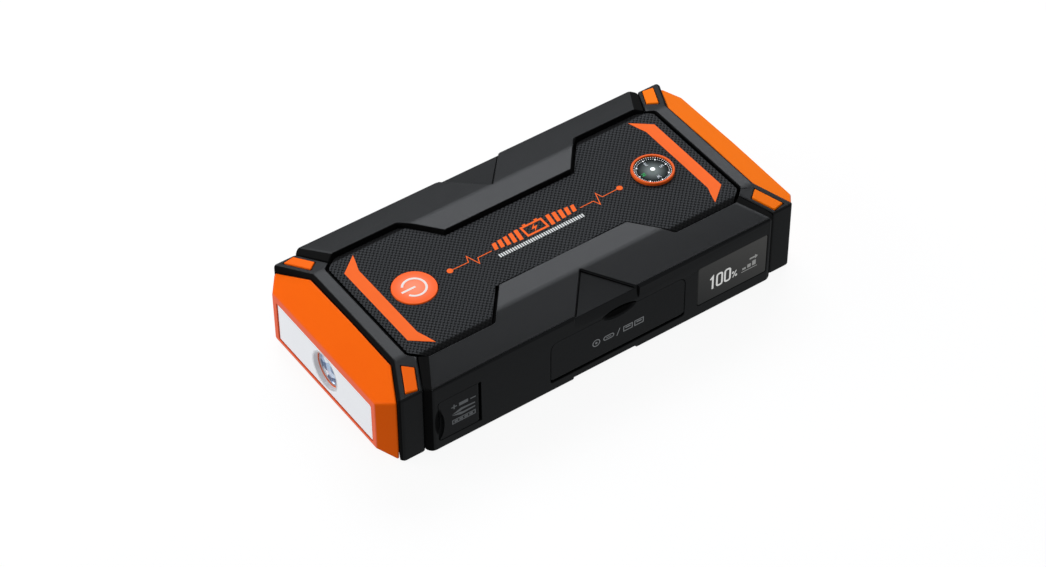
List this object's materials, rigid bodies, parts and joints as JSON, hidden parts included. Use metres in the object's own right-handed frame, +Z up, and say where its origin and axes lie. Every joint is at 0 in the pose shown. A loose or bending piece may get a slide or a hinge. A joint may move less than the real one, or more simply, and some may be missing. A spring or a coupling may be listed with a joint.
{
  "type": "jump starter pack",
  "caption": "Pocket car jump starter: flat black battery case with orange end caps, lamp and torch, power button, compass, display and hinged covers over its sockets.",
  "frame": {"origin": "centre of the bounding box's underside, where the four feet rest", "axes": "+X along the length towards the compass end, with the lamp at -X; the wall with the sockets and the display faces -Y; +Z up out of the top"},
  "size_m": [0.1932, 0.092, 0.0376],
  "materials": {
    "shell_black": "fine satin texture",
    "bumper_black": "matte",
    "cap_orange": "satin",
    "panel_weave": "fine woven texture",
    "cover_rubber": "matte",
    "lens_white": "translucent white",
    "clear_lens": "clear",
    "reflector_chrome": "mirror",
    "button_orange": "translucent",
    "display_glass": "smoked gloss",
    "dial_black": "satin",
    "board_green": "solder mask",
    "steel": "plated",
    "brass": "plated",
    "copper": "bare",
    "socket_blue": "satin",
    "foil_silver": "foil",
    "foam_grey": "foam",
    "lead_red": "satin",
    "lead_black": "satin",
    "rubber_grey": "matte",
    "emitter_yellow": "satin",
    "silicone_white": "matte"
  },
  "bodies": {
    "case": {"main_housing": "shell_black", "bottom_cover": "shell_black", "bumper_front": "bumper_black", "bumper_rear": "bumper_black", "cap_front": "cap_orange", "cap_rear": "cap_orange", "insert_front_near": "cap_orange", "insert_front_far": "cap_orange", "insert_rear_near": "cap_orange", "insert_rear_far": "cap_orange", "compass_bezel": "cap_orange", "top_panel": "panel_weave", "lens_panel": "lens_white", "torch_lens": "clear_lens", "compass_dome": "clear_lens", "torch_reflector": "reflector_chrome", "display_window": "display_glass", "display_module": "dial_black", "compass_cup": "dial_black", "button_board": "board_green", "main_board": "board_green", "lamp_board": "board_green", "button_switch": "steel", "usb_a_1": "steel", "usb_a_2": "steel", "usb_c": "steel", "port_cover_pin": "steel", "jumper_cover_pin": "steel", "case_screw_1": "steel", "case_screw_2": "steel", "case_screw_3": "steel", "case_screw_4": "steel", "contact_positive": "brass", "contact_negative": "brass", "compass_pivot": "brass", "choke": "copper", "strap_positive": "copper", "strap_negative": "copper", "jumper_socket": "socket_blue", "power_jack": "lead_black", "relay": "lead_black", "lead_negative": "lead_black", "lead_positive": "lead_red", "cell_1": "foil_silver", "cell_2": "foil_silver", "cell_3": "foil_silver", "cell_4": "foil_silver", "capacitor_1": "foil_silver", "capacitor_2": "foil_silver", "cell_foam": "foam_grey", "foot_1": "rubber_grey", "foot_2": "rubber_grey", "foot_3": "rubber_grey", "foot_4": "rubber_grey", "torch_emitter": "emitter_yellow", "button_dome": "silicone_white"},
    "power_button": {"power_button": "button_orange"},
    "port_cover": {"port_cover": "cover_rubber"},
    "jumper_cover": {"jumper_cover": "cover_rubber"},
    "compass_card": {"compass_card": "dial_black"}
  },
  "joints": [
    {"name": "button_press", "type": "slide", "parent": "case", "child": "power_button", "axis": [0, 0, -1], "range_m": [0, 0.0008], "stiffness_N_per_m": 800, "springref_m": -0.001, "deforming": ["button_dome"]},
    {"name": "port_cover_hinge", "type": "hinge", "parent": "case", "child": "port_cover", "pos_m": [0.00575, -0.0444, 0.0071], "axis": [1, 0, 0], "range_deg": [0, 90]},
    {"name": "jumper_cover_hinge", "type": "hinge", "parent": "case", "child": "jumper_cover", "pos_m": [-0.0588, -0.0444, 0.01555], "axis": [0, 0, 1], "range_deg": [0, 95]},
    {"name": "compass_turn", "type": "hinge", "parent": "case", "child": "compass_card", "pos_m": [0.0556, 0, 0.0356], "axis": [0, 0, 1], "continuous": true}
  ]
}
